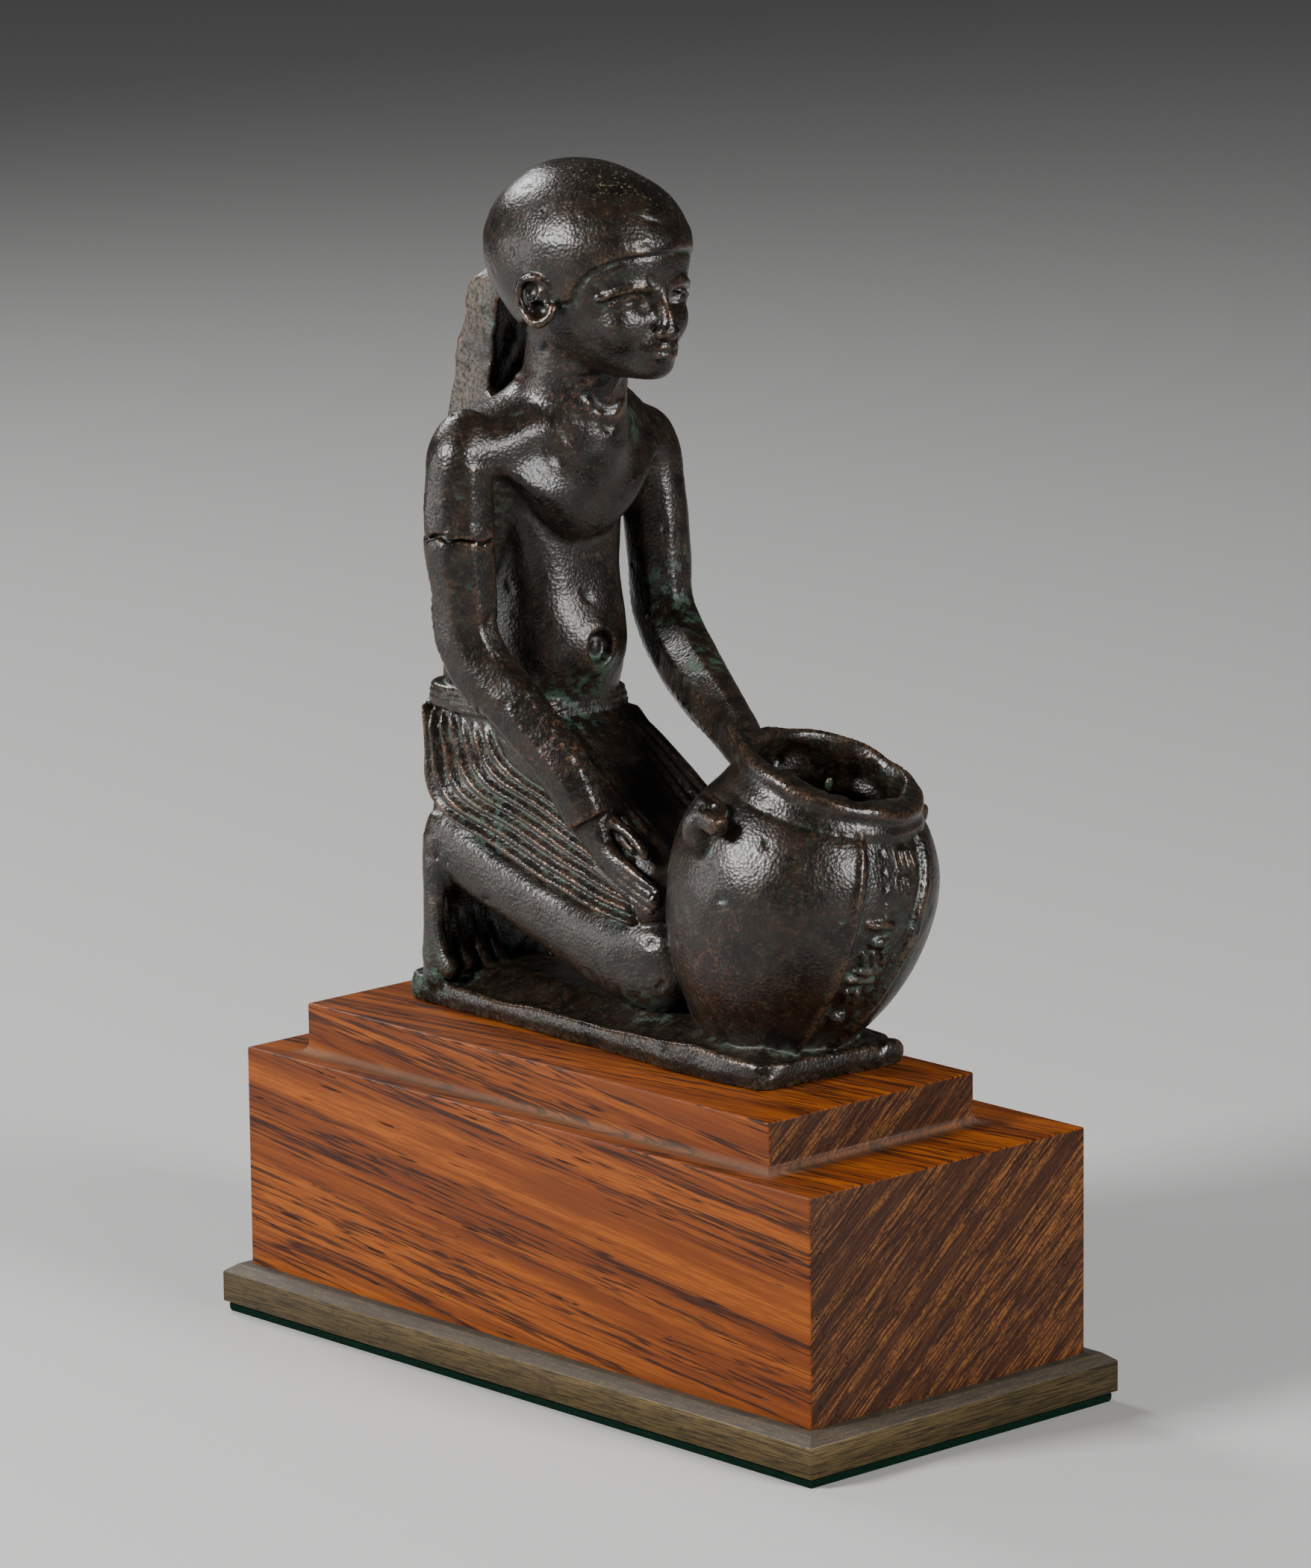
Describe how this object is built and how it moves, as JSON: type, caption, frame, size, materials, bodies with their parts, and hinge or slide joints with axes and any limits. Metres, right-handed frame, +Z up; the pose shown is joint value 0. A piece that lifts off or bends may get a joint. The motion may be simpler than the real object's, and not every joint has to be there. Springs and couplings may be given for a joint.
{
  "type": "kneeling priest statuette",
  "caption": "Small dark bronze of a kneeling priest who steadies a jar before the knees, on a stepped wooden plinth with a brass plate and felt underside.",
  "frame": {"origin": "bottom centre of the stand, on the underside of the felt pad", "axes": "+Z up, -Y the way the figure faces, -X the figure's right side"},
  "size_m": [0.04, 0.0832, 0.1146],
  "materials": {
    "bronze": "dark brown patina, half gloss, with green and red-brown traces in the hollows",
    "wood": "polished streaky tropical hardwood",
    "brass": "brushed and dulled",
    "felt": "matt green felt"
  },
  "bodies": {
    "root": {"kneeling_priest_bronze": "bronze", "stepped_wood_plinth": "wood", "brass_base_plate": "brass", "felt_pad": "felt"}
  },
  "joints": []
}
